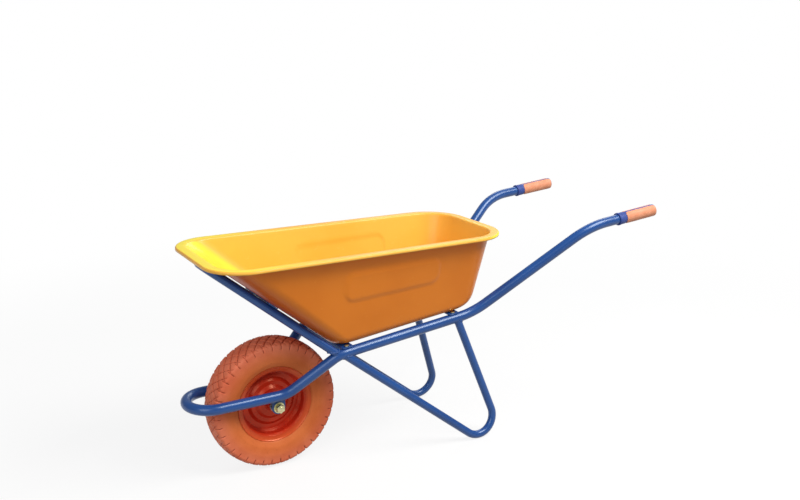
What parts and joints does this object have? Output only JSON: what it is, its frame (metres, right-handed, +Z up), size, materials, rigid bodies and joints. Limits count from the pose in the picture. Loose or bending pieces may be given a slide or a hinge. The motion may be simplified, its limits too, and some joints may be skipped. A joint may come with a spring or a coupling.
{
  "type": "wheelbarrow",
  "caption": "Builder's wheelbarrow: a pressed steel tray with a turned rim on a bent tube frame, with a foam-tyred wheel, V-shaped legs, a nose brace and rubber grips.",
  "frame": {"origin": "on the ground, below the middle of the whole barrow", "axes": "+X forward over the wheel, +Y to the left of a person at the handles, +Z up; standing on the wheel and both legs"},
  "size_m": [1.5434, 0.5852, 0.7219],
  "materials": {
    "frame_paint": "gloss blue powder coat",
    "tray_paint": "gloss orange-yellow powder coat",
    "rim_paint": "gloss red paint",
    "tyre_foam": "matt orange foam",
    "grip_base": "matt blue",
    "grip_cover": "matt orange",
    "zinc_plate": "pale yellow zinc",
    "bearing_steel": "ground"
  },
  "bodies": {
    "frame": {"main_frame_tube": "frame_paint", "leg_left": "frame_paint", "leg_right": "frame_paint", "nose_brace": "frame_paint", "front_strap": "frame_paint", "rear_strap": "frame_paint", "nose_strap": "frame_paint", "axle_bracket_left": "frame_paint", "axle_bracket_right": "frame_paint", "tray": "tray_paint", "grip_core_left": "grip_base", "grip_core_right": "grip_base", "grip_cover_left": "grip_cover", "grip_cover_right": "grip_cover", "tray_front_left_bolt": "zinc_plate", "tray_front_left_washer": "zinc_plate", "tray_front_left_nut": "zinc_plate", "tray_front_right_bolt": "zinc_plate", "tray_front_right_washer": "zinc_plate", "tray_front_right_nut": "zinc_plate", "tray_rear_left_bolt": "zinc_plate", "tray_rear_left_washer": "zinc_plate", "tray_rear_left_nut": "zinc_plate", "tray_rear_right_bolt": "zinc_plate", "tray_rear_right_washer": "zinc_plate", "tray_rear_right_nut": "zinc_plate", "nose_left_bolt": "zinc_plate", "nose_left_washer": "zinc_plate", "nose_left_nut": "zinc_plate", "nose_right_bolt": "zinc_plate", "nose_right_washer": "zinc_plate", "nose_right_nut": "zinc_plate", "strap_front_left_bolt": "zinc_plate", "strap_front_right_bolt": "zinc_plate", "strap_rear_left_bolt": "zinc_plate", "strap_rear_right_bolt": "zinc_plate", "axle_washer_left": "zinc_plate", "axle_washer_right": "zinc_plate", "axle_spacer_left": "zinc_plate", "axle_spacer_right": "zinc_plate", "axle_nut": "zinc_plate", "axle_bolt": "zinc_plate", "axle_sleeve": "bearing_steel", "bearing_inner_left": "bearing_steel", "bearing_inner_right": "bearing_steel"},
    "wheel": {"tyre": "tyre_foam", "rim_half_left": "rim_paint", "rim_half_right": "rim_paint", "hub_tube": "rim_paint", "bearing_outer_left": "bearing_steel", "bearing_outer_right": "bearing_steel", "bearing_balls_left": "bearing_steel", "bearing_balls_right": "bearing_steel"}
  },
  "joints": [
    {"name": "wheel_spin", "type": "hinge", "parent": "frame", "child": "wheel", "pos_m": [0.49717, 0, 0.2], "axis": [0, 1, 0], "continuous": true}
  ]
}
